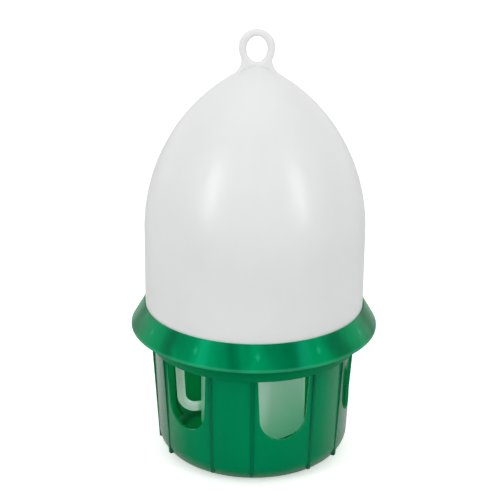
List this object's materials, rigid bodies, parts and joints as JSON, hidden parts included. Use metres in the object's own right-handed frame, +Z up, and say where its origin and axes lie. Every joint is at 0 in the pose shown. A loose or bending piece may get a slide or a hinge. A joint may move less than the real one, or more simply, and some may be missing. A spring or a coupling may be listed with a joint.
{
  "type": "gravity poultry feeder",
  "caption": "Hanging gravity feeder: bullet-shaped reservoir with an eye and an open neck, sloping canopy ring, and a round ribbed bowl with U-shaped feeding windows.",
  "frame": {"origin": "centre of the bowl's standing face", "axes": "+Z up along the body's axis, -Y the front, +X to the right; the hanging eye and the side loop lie in the XZ plane, the loop on the -X side"},
  "size_m": [0.2128, 0.2128, 0.3744],
  "materials": {
    "green_plastic": "glossy, slightly translucent green moulding",
    "white_plastic": "satin milky white, blow-moulded"
  },
  "bodies": {
    "bowl_body": {"bowl": "green_plastic"},
    "ring_body": {"canopy_ring": "green_plastic"},
    "reservoir_body": {"reservoir": "white_plastic"}
  },
  "joints": [
    {"name": "ring_lift", "type": "slide", "parent": "bowl_body", "child": "ring_body", "axis": [0, 0, 1], "range_m": [0, 0.03]},
    {"name": "reservoir_lift", "type": "slide", "parent": "ring_body", "child": "reservoir_body", "axis": [0, 0, 1], "range_m": [0, 0.13]}
  ]
}
